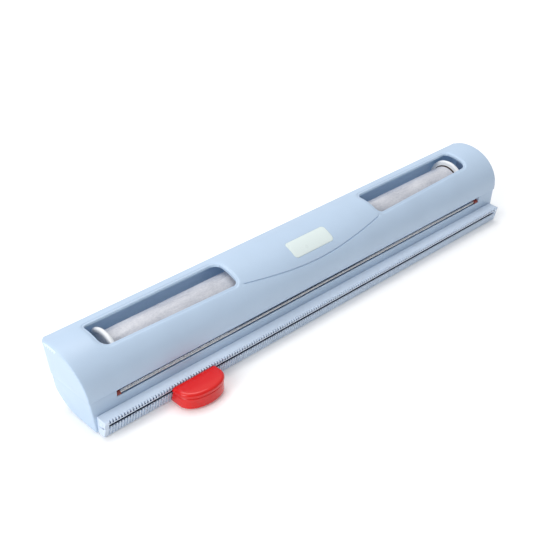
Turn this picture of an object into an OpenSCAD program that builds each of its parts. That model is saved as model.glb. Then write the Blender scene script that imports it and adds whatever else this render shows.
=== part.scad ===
// Kitchen wrap dispenser: a half-pipe base with a hinged, arched lid, a roll of film
// that turns on two core plugs, a steel guide rod in the outlet slot, and a cutter
// that slides along a ribbed rail in front.
// X runs along the length, Y runs from the front to the back, Z is up.
// The origin is on the resting plane, at the middle of the overall box.

/* [Film roll] */
// Width of the film
film_w = 315; // [250:0.5:460]
// Outer radius of the wound film
film_r = 12; // [10.5:0.1:13]
// Outer radius of the cardboard core
core_r = 9.6; // [8.8:0.1:10]
// Wall of the cardboard core
core_wall = 1.2; // [0.8:0.1:1.6]
// Outer radius of a plug's flange
flange_r = 15.8; // [14:0.1:19]
// Thickness of a plug's flange
flange_w = 3.1; // [2:0.1:4]
// Gap between the film's end and a flange
film_end_gap = 0.7; // [0.4:0.1:4]
// Radius of a plug's stub axle
stub_r = 3; // [2.5:0.1:3.5]

/* [Room round the roll] */
// Distance from the front wall's outside to the flange
front_room = 8.6; // [8:0.1:12]
// Gap between the flange and the lid's back wall
back_gap = 0.4; // [0.3:0.1:3]
// Distance from the underside up to the flange
under_room = 16; // [13:0.1:20]
// Distance from the flange up to the crown of the base's form
crown_room = 1.7; // [1.5:0.1:6]
// Distance from a flange's inner face to the end of the underside
end_room = 28; // [24:0.1:40]

/* [Housing] */
// Height of the roll's axis above the line where the arch springs
axis_rise = 6.3; // [4:0.1:7]
// Distance from the arch's crown back to the back wall
crown_back = 13.3; // [10:0.1:15]
// Height of the lid's upright strip under the arch
upright_h = 2.7; // [2:0.1:4]
// Radius of the round under the back
belly_r = 24; // [18:0.1:30]
// Radius of the upright corners at the back
corner_r = 5; // [4.5:0.1:10]
// Outward lean of the two end faces, in degrees
end_lean = 6; // [3:0.1:10]
// Thickness of the base's and the lid's walls
wall = 2.2; // [1.6:0.1:2.6]
// How far the lid stands proud of the base all round
lid_proud = 0.5; // [0.2:0.1:1]

/* [Windows] */
// Length of a window
window_len = 101.5; // [60:0.5:105]
// Distance from the flange's outside to the window's outer end
window_past = 6.2; // [5:0.1:10]
// Width of the lid's strip behind a window
rear_strip = 8.5; // [6:0.1:12]
// Distance from the roll's axis forward to the window's front edge at the outer end
window_front_outer = 11.5; // [9:0.1:12]
// Distance from the roll's axis forward to the window's front edge at the inner end
window_front_inner = 13.7; // [10:0.1:14.5]
// Largest corner radius of a window
window_corner_r = 5.5; // [3:0.1:8]
// Width of the shallow rim round a window
rim_w = 1.6; // [0.8:0.1:2.5]
// Depth of that rim
rim_depth = 0.4; // [0.2:0.05:0.8]

/* [Label and brow line] */
// Length of the blank label plate
label_len = 36; // [20:0.5:60]
// Depth of the label plate, seen from above
label_depth = 11.8; // [8:0.1:14]
// Depth of the brow line cut in the lid
brow_depth = 0.6; // [0.2:0.05:0.8]
// Distance from the front wall to the lowest point of the brow line
brow_in = 3.9; // [3:0.1:6]

/* [Outlet slot] */
// Distance from the slot's end to the end of the rail
slot_end_room = 15; // [12:0.5:30]
// Height of the outlet slot
slot_h = 4.6; // [4.4:0.1:5.5]
// Thickness of the wall's edge under the slot, which is cut away behind
slot_edge_w = 0.6; // [0.5:0.1:1]
// Radius of the guide rod
rod_r = 1.1; // [0.9:0.05:1.2]
// Distance from the front wall to the rod's axis
rod_in = 2.5; // [2.4:0.1:2.8]
// Outer radius of a rod bush
bush_r = 2; // [1.8:0.05:2.05]

/* [Cutter rail] */
// How far the rail runs past the end of the underside
rail_past = -1.2; // [-3:0.1:1]
// Height of the rail's front face
rail_h = 11.7; // [11.4:0.1:13]
// Distance that the rail's foot stands in front of the base
rail_foot = 6; // [5.8:0.1:8]
// Distance that the rail's top edge stands in front of the base
rail_top = 8.6; // [8.4:0.1:10]
// Pitch of the ribs and teeth
rib_pitch = 2.05; // [1.8:0.05:4]
// Depth of the ribs and teeth
rib_depth = 0.55; // [0.3:0.05:0.8]
// Height of the groove that the blade runs in
groove_h = 1.8; // [1.7:0.1:2.2]

/* [Slider] */
// Length of the cutter along the rail
slider_len = 33.4; // [28:0.1:40]
// Distance that the cutter stands in front of the base
slider_reach = 25.5; // [23:0.1:30]
// Height of the cutter's top above the underside
slider_h = 11.9; // [11.2:0.1:13]
// Distance from the rail's left end to the middle of the cutter
slider_park = 64.3; // [24:0.1:160]

/* [Hinges and feet] */
// Distance from the end of the underside to the middle of each hinge
hinge_in = 71.2; // [40:0.1:110]
// Radius of a hinge knuckle
knuckle_r = 2.6; // [2.2:0.1:3.2]
// Radius of a hinge pin
pin_r = 1.2; // [0.9:0.05:1.3]
// Distance that the feet stand proud of the underside
foot_proud = 0.6; // [0.3:0.1:1.1]
// Length of a foot
foot_len = 22; // [14:0.5:30]
// Distance from the end of the underside to the middle of each foot
foot_end_in = 51.2; // [30:0.1:90]

/* [Hidden] */
$fn = 64;

// One overrun for every cut
over = 1;
// Clearances: a pin or axle in its bore, a seated piece, and a piece that moves past another
run_clear = 0.05;
seat_clear = 0.03;
move_clear = 0.35;

// The housing's overall sizes, from the roll that it holds
roll_in = front_room + flange_r;
roll_h = under_room + flange_r;
flange_gap = film_w + 2 * film_end_gap;
base_len = flange_gap + 2 * end_room;
base_depth = roll_in + flange_r + back_gap + wall - lid_proud;
arch_depth = base_depth - crown_back;
spring_h = roll_h - axis_rise;
arch_rise = axis_rise + flange_r + crown_room;
parting_h = spring_h - upright_h;
rail_len = base_len + 2 * rail_past;
slider_x = slider_park - rail_len / 2;
hinge_x = base_len / 2 - hinge_in;
foot_x = base_len / 2 - foot_end_in;

// Places across the depth and up the height
hinge_out = lid_proud + 0.15 * knuckle_r;
total_depth = slider_reach + base_depth + hinge_out + knuckle_r;
y_front = slider_reach - total_depth / 2;
y_back = y_front + base_depth;
z_base = foot_proud;
z_parting = z_base + parting_h;
z_top = z_base + spring_h + arch_rise + lid_proud;
crown_y = y_front + arch_depth;
spring_z = z_base + spring_h;
parting_gap = 0.15;
lean_run = tan(end_lean);
reach_x = base_len / 2 + z_top * lean_run + over;

housing_blue = [0.76, 0.84, 0.92];
plug_white = [0.95, 0.95, 0.96];
film_grey = [0.82, 0.82, 0.84];
slider_red = [0.90, 0.13, 0.13];
bush_brown = [0.45, 0.14, 0.12];
bright_steel = [0.78, 0.79, 0.80];
card_tan = [0.72, 0.60, 0.45];
pad_grey = [0.30, 0.31, 0.33];

// Outline of the housing's cross-section, drawn in by inset on every side
arch_steps = 30;
belly_steps = 16;
function arch_end(inset) = acos(-(base_depth - arch_depth - inset) / (arch_depth - inset));
function arch_point(turn, inset) =
    [crown_y - (arch_depth - inset) * cos(turn), spring_z + (arch_rise - inset) * sin(turn)];
function section(inset) = concat(
    [[y_front + inset, z_base + inset]],
    [for (k = [0 : arch_steps]) arch_point(arch_end(inset) * k / arch_steps, inset)],
    [for (k = [0 : belly_steps])
        let (turn = -90 * k / belly_steps)
        [y_back - belly_r + (belly_r - inset) * cos(turn),
         z_base + belly_r + (belly_r - inset) * sin(turn)]]);

// Half the length between the leaning end faces at a height
function end_x(z, inset) = base_len / 2 + (z - z_base) * lean_run - inset / cos(end_lean);

// Arc that rounds the corner at point p, between the points before and after it
corner_steps = 6;
function unit(v) = v / norm(v);
function fillet(before, p, after, r) =
    let (u = unit(before - p), w = unit(after - p),
         half = acos(u * w) / 2,
         middle = p + unit(u + w) * r / sin(half),
         first = unit(p + u * r / tan(half) - middle),
         last = unit(p + w * r / tan(half) - middle))
    [for (k = [0 : corner_steps]) middle + r * unit(first * (corner_steps - k) + last * k)];
function rounded(points, radii) =
    let (n = len(points))
    [for (k = [0 : n - 1])
        each fillet(points[(k + n - 1) % n], points[k], points[(k + 1) % n], radii[k])];

// Lays an outline of the Y and Z plane along X, from x_low to x_high
module along_x(x_low, x_high) {
    translate([x_low, 0, 0]) rotate([90, 0, 90]) linear_extrude(height = x_high - x_low) children();
}

// Round bar along X
module bar_x(r, x_low, x_high, y, z) {
    translate([x_low, y, z]) rotate([0, 90, 0]) cylinder(r = r, h = x_high - x_low);
}

// Box from its lowest and its highest corner
module block(low, high) {
    translate(low) cube(high - low);
}

// What lies outside the rounded upright corner at the back, at the right end
module corner_waste(inset) {
    translate([end_x(z_base, 0), y_back, z_base]) rotate([0, end_lean, 0])
        translate([-corner_r, -corner_r, -z_top]) difference() {
            cube([corner_r + over, corner_r + over, 3 * z_top]);
            cylinder(r = corner_r - inset, h = 3 * z_top);
        }
}

// The housing's whole form, drawn in by inset
module body_form(inset) {
    difference() {
        intersection() {
            along_x(-reach_x, reach_x) polygon(section(inset));
            translate([0, y_back + over, 0]) rotate([90, 0, 0])
                linear_extrude(height = base_depth + 2 * over)
                polygon([[-end_x(0, inset), 0], [end_x(0, inset), 0],
                         [end_x(z_top + over, inset), z_top + over],
                         [-end_x(z_top + over, inset), z_top + over]]);
        }
        corner_waste(inset);
        mirror([1, 0, 0]) corner_waste(inset);
    }
}

// Everything between two heights
module between(z_low, z_high) {
    block([-reach_x, y_front - over - lid_proud, z_low], [reach_x, y_back + over + lid_proud, z_high]);
}

// The roll's place and its plugs
roll_y = y_front + roll_in;
roll_z = z_base + roll_h;
flange_x = flange_gap / 2;
core_len = flange_gap - 2 * move_clear;
hub_len = 16;
hub_wall = 1.8;
stub_len = 7;
rim_round = 0.45 * flange_w;
dish_depth = 0.2 * flange_w;
dish_outer_r = flange_r - flange_w;
recess_depth = 1.2;
recess_edge = 2;
recess_r = flange_r - rim_round - recess_edge;

// The cradles that carry the stub axles
cradle_gap = 3;
cradle_w = 3;
cradle_x = flange_x + flange_w + cradle_gap;
cradle_half = 7;
cradle_floor_h = 14;
cradle_rise = 1.2;

// The slot, its rod and its bushes
slot_x = rail_len / 2 - slot_end_room;
slot_lip_h = parting_h - slot_h;
slot_edge_z = z_base + slot_lip_h;
slot_fall = 1.5;
rod_y = y_front + rod_in;
rod_lift = 0.15;
rod_z = slot_edge_z + rod_lift;
bush_len = 7;
bush_show = 3.4;
boss_len = 7;
boss_drop = 5;
boss_back = 7;
boss_skin = 1.5;
rod_end = slot_x + boss_len - boss_skin;

// Locating lips at the two ends of the base
lip_w = 1.2;
lip_rise = 1.6;
lip_drop = 2.5;
lip_gap = 0.3;
lip_x = slot_x + boss_len + boss_skin;

// Hinges at the back
hinge_y = y_back + hinge_out;
hinge_z = z_parting;
base_knuckle_w = 10;
lid_knuckle_w = 6;
knuckle_gap = 0.3;
web_h = 5;
pin_half = base_knuckle_w / 2 + knuckle_gap + lid_knuckle_w;

// The heels and the feet
foot_w = 7;
foot_t = 1.2;
front_foot_in = 6;
heel_in = 27;
heel_h = 6;
heel_edge = 1.5;

// The rail: its channel, its groove and its screws
rail_lean = atan((rail_top - rail_foot) / rail_h);
rail_back_rise = 0.4;
channel_rise = 6.2;
channel_z = z_base + channel_rise;
channel_h = 4;
channel_front = 5;
channel_depth = 3.6;
groove_rise = 7.2;
groove_z = z_base + groove_rise;
stop_len = 7;
lower_rib_h = 6.8;
upper_rib_h = 1.6;
core_out_count = 12;
core_out_h = 3;
core_out_w = 3;
core_out_rib = 3;
screw_x_shares = [-0.42, -0.14, 0.14, 0.42];
screw_rise = 4.4;
screw_z = z_base + screw_rise;
screw_r = 1.1;
screw_head_r = 1.8;
screw_head_t = 1.2;
screw_bite = 4;

// The cutter
shoe_half = 12;
neck_half = 5;
tongue_end = 9;
blade_t = 0.45;
blade_half = 11;
blade_tip = 0.9;
blade_z = groove_z + groove_h / 2 + 0.1 * groove_h;
tongue_t = 0.75;
slider_half = slider_len / 2;
slider_foot = 0.4;
bulge_start = 14.3;
waist = 1;
slice_t = 0.05;
clamp_in = 19;
clamp_r = 1;
clamp_head_r = 2;
clamp_head_t = 1.2;
clamp_sink = 1.2;

// Outlines seen from above
window_outer_x = flange_x + flange_w + window_past;
window_inner_x = window_outer_x - window_len;
function window_outline(grow) = rounded(
    [[window_inner_x - grow, roll_y - window_front_inner - grow],
     [window_outer_x + grow, roll_y - window_front_outer - grow],
     [window_outer_x + grow, y_back - rear_strip + grow],
     [window_inner_x - grow, y_back - rear_strip + grow]],
    [0.75 * window_corner_r + grow, window_corner_r + grow,
     0.5 * window_corner_r + grow, window_corner_r + grow]);
label_round = 2.4;
label_in = arch_depth / 2;
label_seat = 0.3;
label_stand = 0.1;
function label_outline(grow) = rounded(
    [[-label_len / 2 - grow, y_front + label_in - label_depth / 2 - grow],
     [label_len / 2 + grow, y_front + label_in - label_depth / 2 - grow],
     [label_len / 2 + grow, y_front + label_in + label_depth / 2 + grow],
     [-label_len / 2 - grow, y_front + label_in + label_depth / 2 + grow]],
    [label_round, label_round, label_round, label_round]);

// The brow line runs as a power curve from one window's front corner to the other's
brow_power = 1.9;
brow_steps = 28;
brow_w = 0.5;
brow_end_x = window_inner_x - 1.5 * rim_w;
brow_end_in = roll_in - window_front_inner - 0.9 * rim_w;
function brow_y(x) =
    y_front + brow_in + (brow_end_in - brow_in) * pow(abs(x) / brow_end_x, brow_power);
function brow_points(shift, way) =
    [for (k = [0 : brow_steps])
        let (x = way * brow_end_x * (2 * k / brow_steps - 1)) [x, brow_y(x) + shift]];

// Cuts an outline seen from above into the lid's skin
module carve(depth) {
    difference() {
        translate([0, 0, spring_z]) linear_extrude(height = arch_rise + lid_proud + over) children();
        body_form(depth - lid_proud);
    }
}

// One set of hinge knuckles with the webs that join them to a wall
module knuckles(spans, web_low, web_high, wall_y) {
    for (side = [-1, 1], span = spans) {
        bar_x(knuckle_r, side * hinge_x + span[0], side * hinge_x + span[1], hinge_y, hinge_z);
        block([side * hinge_x + span[0], wall_y, web_low],
              [side * hinge_x + span[1], hinge_y, web_high]);
    }
}
module hinge_bores() {
    for (side = [-1, 1])
        bar_x(pin_r + run_clear, side * hinge_x - pin_half - over,
              side * hinge_x + pin_half + over, hinge_y, hinge_z);
}
base_spans = [[-base_knuckle_w / 2, base_knuckle_w / 2]];
lid_spans = [[-pin_half, lid_knuckle_w - pin_half], [pin_half - lid_knuckle_w, pin_half]];

// Room in a wall for the other half's knuckles
module knuckle_room(spans, z_low, z_high) {
    for (side = [-1, 1], span = spans)
        block([side * hinge_x + span[0] - knuckle_gap, y_back - 2 * wall, z_low],
              [side * hinge_x + span[1] + knuckle_gap, hinge_y + knuckle_r + over, z_high]);
}

// A cradle for one stub axle, at the right end
module cradle() {
    difference() {
        union() {
            intersection() {
                body_form(wall / 2);
                block([cradle_x, y_front, z_base], [cradle_x + cradle_w, y_back, z_base + cradle_floor_h]);
            }
            block([cradle_x, roll_y - cradle_half, z_base + cradle_floor_h / 2],
                  [cradle_x + cradle_w, roll_y + cradle_half, roll_z + cradle_rise]);
        }
        bar_x(stub_r + run_clear, cradle_x - over, cradle_x + cradle_w + over, roll_y, roll_z);
        block([cradle_x - over, roll_y - stub_r - run_clear, roll_z],
              [cradle_x + cradle_w + over, roll_y + stub_r + run_clear, roll_z + stub_r + over]);
    }
}

// The boss behind the front wall that holds the rod's bush, at the right end
module bush_boss() {
    block([slot_x, y_front + wall / 2, rod_z - boss_drop],
          [slot_x + boss_len, y_front + boss_back, z_parting]);
}
module bush_bore() {
    bar_x(bush_r + seat_clear, slot_x - bush_show - move_clear,
          slot_x + bush_len - bush_show + seat_clear, rod_y, rod_z);
    bar_x(rod_r + run_clear, slot_x - over, rod_end + move_clear, rod_y, rod_z);
}

// Feet and heels
module foot(x, y, grow) {
    block([x - foot_len / 2 - grow, y - foot_w / 2 - grow, z_base - foot_proud],
          [x + foot_len / 2 + grow, y + foot_w / 2 + grow, z_base - foot_proud + foot_t]);
}
module feet(grow) {
    for (side = [-1, 1], inwards = [front_foot_in, heel_in])
        foot(side * foot_x, y_front + inwards, grow);
}
module heel(x) {
    difference() {
        block([x - foot_len / 2 - heel_edge, y_front + heel_in - foot_w / 2 - heel_edge, z_base],
              [x + foot_len / 2 + heel_edge, y_front + heel_in + foot_w / 2 + heel_edge,
               z_base + heel_h]);
        body_form(wall / 2);
    }
}

module base_trough() {
    color(housing_blue) difference() {
        union() {
            difference() {
                union() {
                    intersection() {
                        body_form(0);
                        between(z_base - over, z_parting);
                    }
                    for (side = [-1, 1]) heel(side * foot_x);
                }
                body_form(wall);
                block([-slot_x, y_front - over, slot_edge_z],
                      [slot_x, y_front + 2 * wall, z_parting + over]);
                along_x(-slot_x, slot_x)
                    polygon([[y_front + slot_edge_w, slot_edge_z], [y_front + 2 * wall, slot_edge_z],
                             [y_front + 2 * wall, slot_edge_z - slot_fall * (2 * wall - slot_edge_w)]]);
                knuckle_room(lid_spans, hinge_z - knuckle_r - move_clear, z_parting + over);
            }
            intersection() {
                difference() {
                    body_form(wall - lid_proud + lip_gap);
                    body_form(wall - lid_proud + lip_gap + lip_w);
                }
                between(z_parting - lip_drop, z_parting + lip_rise);
                union() {
                    block([lip_x, y_front, z_base], [reach_x, y_back, z_top]);
                    block([-reach_x, y_front, z_base], [-lip_x, y_back, z_top]);
                }
            }
            cradle();
            mirror([1, 0, 0]) cradle();
            bush_boss();
            mirror([1, 0, 0]) bush_boss();
            knuckles(base_spans, hinge_z - web_h, hinge_z, y_back - wall / 2);
        }
        hinge_bores();
        bush_bore();
        mirror([1, 0, 0]) bush_bore();
        feet(seat_clear);
        for (share = screw_x_shares)
            translate([share * base_len, y_front - over, screw_z]) rotate([-90, 0, 0])
                cylinder(r = screw_r + seat_clear, h = wall + 2 * over);
    }
}

// Places things on the rail's leaning front face: Z runs up it and Y runs into the rail
module on_rail_face() {
    translate([0, y_front - rail_foot, z_base]) rotate([rail_lean, 0, 0]) children();
}

// A row of V-shaped cuts in the rail's face, from one height to another
module rib_cuts(low, high) {
    count = floor((rail_len - 2 * rib_pitch) / rib_pitch / 2);
    zigzag = [for (k = [-count : count], step = [0, 1])
        [(k + step / 2) * rib_pitch, step * rib_depth]];
    on_rail_face() translate([0, 0, low]) linear_extrude(height = high - low)
        polygon(concat(zigzag, [[(count + 1) * rib_pitch, 0], [(count + 1) * rib_pitch, -over],
                                [-count * rib_pitch, -over]]));
}

module cutter_rail() {
    color(housing_blue) difference() {
        along_x(-rail_len / 2, rail_len / 2)
            polygon([[y_front - rail_foot, z_base], [y_front, z_base],
                     [y_front, z_base + rail_h + rail_back_rise], [y_front - rail_top, z_base + rail_h]]);
        rib_cuts(rib_depth, lower_rib_h);
        rib_cuts(rail_h / cos(rail_lean) - upper_rib_h, rail_h + rail_top);
        block([-rail_len / 2 - over, y_front - rail_top - over, groove_z],
              [rail_len / 2 + over, y_front - channel_front + over, groove_z + groove_h]);
        block([-rail_len / 2 - over, y_front - channel_front, channel_z],
              [rail_len / 2 + over, y_front - channel_front + channel_depth, channel_z + channel_h]);
        for (k = [0 : core_out_count - 1])
            let (bay = rail_len / core_out_count, x = -rail_len / 2 + bay * k)
            block([x + core_out_rib, y_front - rail_foot + core_out_w / 2, z_base - over],
                  [x + bay - core_out_rib, y_front - rail_foot + core_out_w / 2 + core_out_w,
                   z_base + core_out_h]);
        for (share = screw_x_shares)
            translate([share * base_len, y_front + over, screw_z]) rotate([90, 0, 0])
                cylinder(r = screw_r + seat_clear, h = screw_bite + over + seat_clear);
    }
}

// The plug that closes the rail's channel, at the right end
module rail_cap() {
    color(housing_blue) union() {
        block([rail_len / 2 - stop_len, y_front - channel_front + seat_clear, channel_z + seat_clear],
              [rail_len / 2, y_front - channel_front + channel_depth - seat_clear,
               channel_z + channel_h - seat_clear]);
        difference() {
            block([rail_len / 2 - stop_len, y_front - rail_top, groove_z + seat_clear],
                  [rail_len / 2, y_front - channel_front + over, groove_z + groove_h - seat_clear]);
            on_rail_face() block([0, -rail_top, 0], [rail_len, rib_depth, 2 * rail_h]);
        }
    }
}
module right_rail_cap() {
    rail_cap();
}
module left_rail_cap() {
    mirror([1, 0, 0]) rail_cap();
}

module rail_screws() {
    color(bright_steel) for (share = screw_x_shares)
        translate([share * base_len, y_front + wall, screw_z]) rotate([90, 0, 0]) difference() {
            union() {
                cylinder(r = screw_r, h = wall + screw_bite);
                translate([0, 0, -screw_head_t]) cylinder(r = screw_head_r, h = screw_head_t);
            }
            translate([-screw_head_r, -screw_head_t / 6, -screw_head_t - over])
                cube([2 * screw_head_r, screw_head_t / 3, over + screw_head_t / 2]);
        }
}

module lid_shell() {
    difference() {
        intersection() {
            body_form(-lid_proud);
            between(z_parting + parting_gap, z_top + over);
        }
        body_form(wall - lid_proud);
        for (side = [0, 1]) mirror([side, 0, 0]) {
            translate([0, 0, spring_z]) linear_extrude(height = z_top)
                polygon(window_outline(0));
            carve(rim_depth) polygon(window_outline(rim_w));
        }
        carve(brow_depth) polygon(concat(brow_points(-brow_w / 2, 1), brow_points(brow_w / 2, -1)));
        carve(label_seat) polygon(label_outline(seat_clear));
        knuckle_room(base_spans, z_base, hinge_z + knuckle_r + move_clear);
    }
}
module lid_cover() {
    color(housing_blue) difference() {
        union() {
            lid_shell();
            knuckles(lid_spans, hinge_z, hinge_z + web_h, y_back + lid_proud - wall / 2);
        }
        hinge_bores();
    }
}

module label_plate() {
    color(plug_white) intersection() {
        difference() {
            body_form(-lid_proud - label_stand);
            body_form(label_seat - lid_proud);
        }
        translate([0, 0, spring_z]) linear_extrude(height = z_top) polygon(label_outline(0));
    }
}

module hinge_pin(side) {
    color(bright_steel) bar_x(pin_r, side * hinge_x - pin_half, side * hinge_x + pin_half, hinge_y, hinge_z);
}
module left_hinge_pin() {
    hinge_pin(-1);
}
module right_hinge_pin() {
    hinge_pin(1);
}

module guide_rod() {
    color(bright_steel) bar_x(rod_r, -rod_end, rod_end, rod_y, rod_z);
}

// Bush for the rod, at the right end
module rod_bush() {
    color(bush_brown) difference() {
        bar_x(bush_r, slot_x - bush_show, slot_x + bush_len - bush_show, rod_y, rod_z);
        bar_x(rod_r + run_clear, slot_x - bush_show - over, slot_x + bush_len + over, rod_y, rod_z);
    }
}
module right_rod_bush() {
    rod_bush();
}
module left_rod_bush() {
    mirror([1, 0, 0]) rod_bush();
}

module tube_x(outer, inner, length) {
    difference() {
        bar_x(outer, -length / 2, length / 2, roll_y, roll_z);
        bar_x(inner, -length / 2 - over, length / 2 + over, roll_y, roll_z);
    }
}
module core_tube() {
    color(card_tan) tube_x(core_r, core_r - core_wall, core_len);
}
module film_roll() {
    color(film_grey) tube_x(film_r, core_r, film_w);
}

// Core plug at the right end, turned about the roll's axis
rim_steps = 6;
hub_r = core_r - core_wall - seat_clear;
function rim_arc(height, from) =
    [for (k = [0 : rim_steps])
        let (turn = from + 90 * k / rim_steps)
        [flange_r - rim_round + rim_round * cos(turn), height + rim_round * sin(turn)]];
module core_plug() {
    color(plug_white) translate([flange_x, roll_y, roll_z]) rotate([0, 90, 0]) rotate_extrude()
        polygon(concat(
            [[0, -hub_wall], [hub_r - hub_wall, -hub_wall], [hub_r - hub_wall, -hub_len],
             [hub_r, -hub_len], [hub_r, recess_depth], [recess_r, recess_depth], [recess_r, 0]],
            rim_arc(rim_round, -90),
            rim_arc(flange_w - rim_round, 0),
            [[dish_outer_r, flange_w], [dish_outer_r - dish_depth / 2, flange_w - dish_depth],
             [2 * stub_r - dish_depth, flange_w - dish_depth], [2 * stub_r - 1.5 * dish_depth, flange_w],
             [stub_r, flange_w], [stub_r, flange_w + stub_len], [0, flange_w + stub_len]]));
}
module right_core_plug() {
    core_plug();
}
module left_core_plug() {
    mirror([1, 0, 0]) core_plug();
}

// The cutter's outline seen from above, drawn in by inset: straight at the rail, bulging in front
bulge_power = 2.1;
bulge_steps = 24;
function bulge_point(turn, inset) =
    [(slider_half - inset) * (cos(turn) < 0 ? -1 : 1) * pow(abs(cos(turn)), 2 / bulge_power),
     y_front - bulge_start - (slider_reach - bulge_start - inset) * pow(sin(turn), 2 / bulge_power)];
function cutter_outline(inset) = concat(
    [[slider_half - inset, y_front - rail_foot], [inset - slider_half, y_front - rail_foot]],
    [for (k = [0 : bulge_steps]) bulge_point(180 - 180 * k / bulge_steps, inset)]);
module slice(z, inset) {
    translate([slider_x, 0, z]) linear_extrude(height = slice_t) polygon(cutter_outline(inset));
}
// What the rail and its clearance take away from the cutter
module rail_side() {
    on_rail_face() block([-rail_len, -move_clear, -rail_h], [rail_len, 3 * rail_top, 3 * rail_h]);
}
clamp_y = y_front - clamp_in;
clamp_z = z_base + slider_foot + clamp_sink;

module blade_form(grow, z, t) {
    translate([slider_x, y_front, z]) linear_extrude(height = t)
        polygon([[-blade_half - grow, -rail_top - blade_tip], [-neck_half - blade_tip, -rail_foot],
                 [neck_half + blade_tip, -rail_foot], [blade_half + grow, -rail_top - blade_tip],
                 [neck_half + grow, -clamp_in - 2 * clamp_head_r - grow],
                 [-neck_half - grow, -clamp_in - 2 * clamp_head_r - grow]]);
}

module slider_cap() {
    color(slider_red) difference() {
        hull() {
            slice(blade_z, waist);
            slice(blade_z + waist, 0);
            slice(z_base + slider_h - 1.4 * waist, 0);
            slice(z_base + slider_h - slice_t, 1.2 * waist);
        }
        rail_side();
        blade_form(seat_clear, blade_z - over, over + blade_t + seat_clear);
        translate([slider_x, clamp_y, blade_z - over])
            cylinder(r = clamp_r + seat_clear, h = over + slider_h + z_base - waist - blade_z);
    }
}

module slider_body() {
    color(slider_red) difference() {
        hull() {
            slice(z_base + slider_foot, waist);
            slice(z_base + slider_foot + waist, waist / 5);
            slice(blade_z - waist, waist / 3);
            slice(blade_z - slice_t, waist);
        }
        rail_side();
        block([slider_x - neck_half - seat_clear, y_front - clamp_in - tongue_end / 2 - seat_clear,
               blade_z - tongue_t - seat_clear],
              [slider_x + neck_half + seat_clear, y_front, blade_z + over]);
        translate([slider_x, clamp_y, z_base - over])
            cylinder(r = clamp_head_r + seat_clear, h = clamp_z - z_base + over);
        translate([slider_x, clamp_y, z_base]) cylinder(r = clamp_r + seat_clear, h = slider_h);
    }
}

module slider_shoe() {
    color(plug_white) difference() {
        union() {
            block([slider_x - shoe_half, y_front - channel_front + move_clear, channel_z + move_clear],
                  [slider_x + shoe_half, y_front - channel_front + channel_depth - move_clear,
                   channel_z + channel_h - move_clear]);
            block([slider_x - neck_half, y_front - clamp_in - tongue_end / 2, blade_z - tongue_t],
                  [slider_x + neck_half, y_front - channel_front + channel_depth / 2, blade_z]);
        }
        translate([slider_x, clamp_y, z_base]) cylinder(r = clamp_r + seat_clear, h = slider_h);
    }
}

module cutter_blade() {
    color(bright_steel) difference() {
        blade_form(0, blade_z, blade_t);
        translate([slider_x, clamp_y, z_base]) cylinder(r = clamp_r + seat_clear, h = slider_h);
    }
}

module blade_screw() {
    color(bright_steel) translate([slider_x, clamp_y, 0]) difference() {
        union() {
            translate([0, 0, clamp_z - clamp_head_t]) cylinder(r = clamp_head_r, h = clamp_head_t);
            translate([0, 0, clamp_z - clamp_head_t / 2])
                cylinder(r = clamp_r, h = z_base + slider_h - 2 * waist - clamp_z);
        }
        translate([-clamp_head_r, -clamp_head_t / 6, clamp_z - clamp_head_t - over])
            cube([2 * clamp_head_r, clamp_head_t / 3, over + clamp_head_t / 2]);
    }
}

module rubber_feet() {
    color(pad_grey) feet(0);
}

base_trough();
cutter_rail();
left_rail_cap();
right_rail_cap();
rail_screws();
lid_cover();
label_plate();
left_hinge_pin();
right_hinge_pin();
guide_rod();
left_rod_bush();
right_rod_bush();
core_tube();
film_roll();
left_core_plug();
right_core_plug();
slider_cap();
slider_body();
slider_shoe();
cutter_blade();
blade_screw();
rubber_feet();
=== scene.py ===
# %% [markdown]
# # A kitchen wrap dispenser
# A long light-blue housing holds a roll of wrap. Its arched lid has two windows, a steel
# rod lies in the outlet slot, and a red cutter slides along a ribbed rail in front.
# The frame below holds every construction piece at its real size, in metres. This lesson
# remodels the pieces that show and gives each one the finish of the real material.
# %% Load the frame and keep its box
import math

import bmesh
import bpy
import numpy as np
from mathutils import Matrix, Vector, kdtree, noise
from mathutils.geometry import delaunay_2d_cdt


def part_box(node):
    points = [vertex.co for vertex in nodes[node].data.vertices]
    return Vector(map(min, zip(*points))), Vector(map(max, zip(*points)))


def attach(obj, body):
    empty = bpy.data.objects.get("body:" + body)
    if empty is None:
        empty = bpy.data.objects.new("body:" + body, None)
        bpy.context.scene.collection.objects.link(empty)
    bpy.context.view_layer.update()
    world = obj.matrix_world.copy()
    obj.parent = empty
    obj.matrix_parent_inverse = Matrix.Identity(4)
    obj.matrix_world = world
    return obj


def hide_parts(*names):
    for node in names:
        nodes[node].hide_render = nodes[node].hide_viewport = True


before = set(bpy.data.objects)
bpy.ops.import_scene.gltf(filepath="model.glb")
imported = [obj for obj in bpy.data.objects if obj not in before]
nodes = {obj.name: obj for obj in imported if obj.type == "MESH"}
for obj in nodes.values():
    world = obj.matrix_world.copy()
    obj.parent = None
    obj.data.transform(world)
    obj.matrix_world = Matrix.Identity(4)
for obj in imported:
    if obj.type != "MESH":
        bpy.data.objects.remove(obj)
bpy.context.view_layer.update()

# %% [markdown]
# ## Sizes
# Everything below is thought out in millimetres and written to Blender in metres, so one
# factor does the change. Places come from the boxes of the construction pieces. Only walls,
# radii and offsets that a box can't tell are typed here, as a mould maker would note them.
# %% Shared sizes in millimetres
MM = 0.001


def box_mm(node):
    low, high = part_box(node)
    return [v / MM for v in low], [v / MM for v in high]


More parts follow.
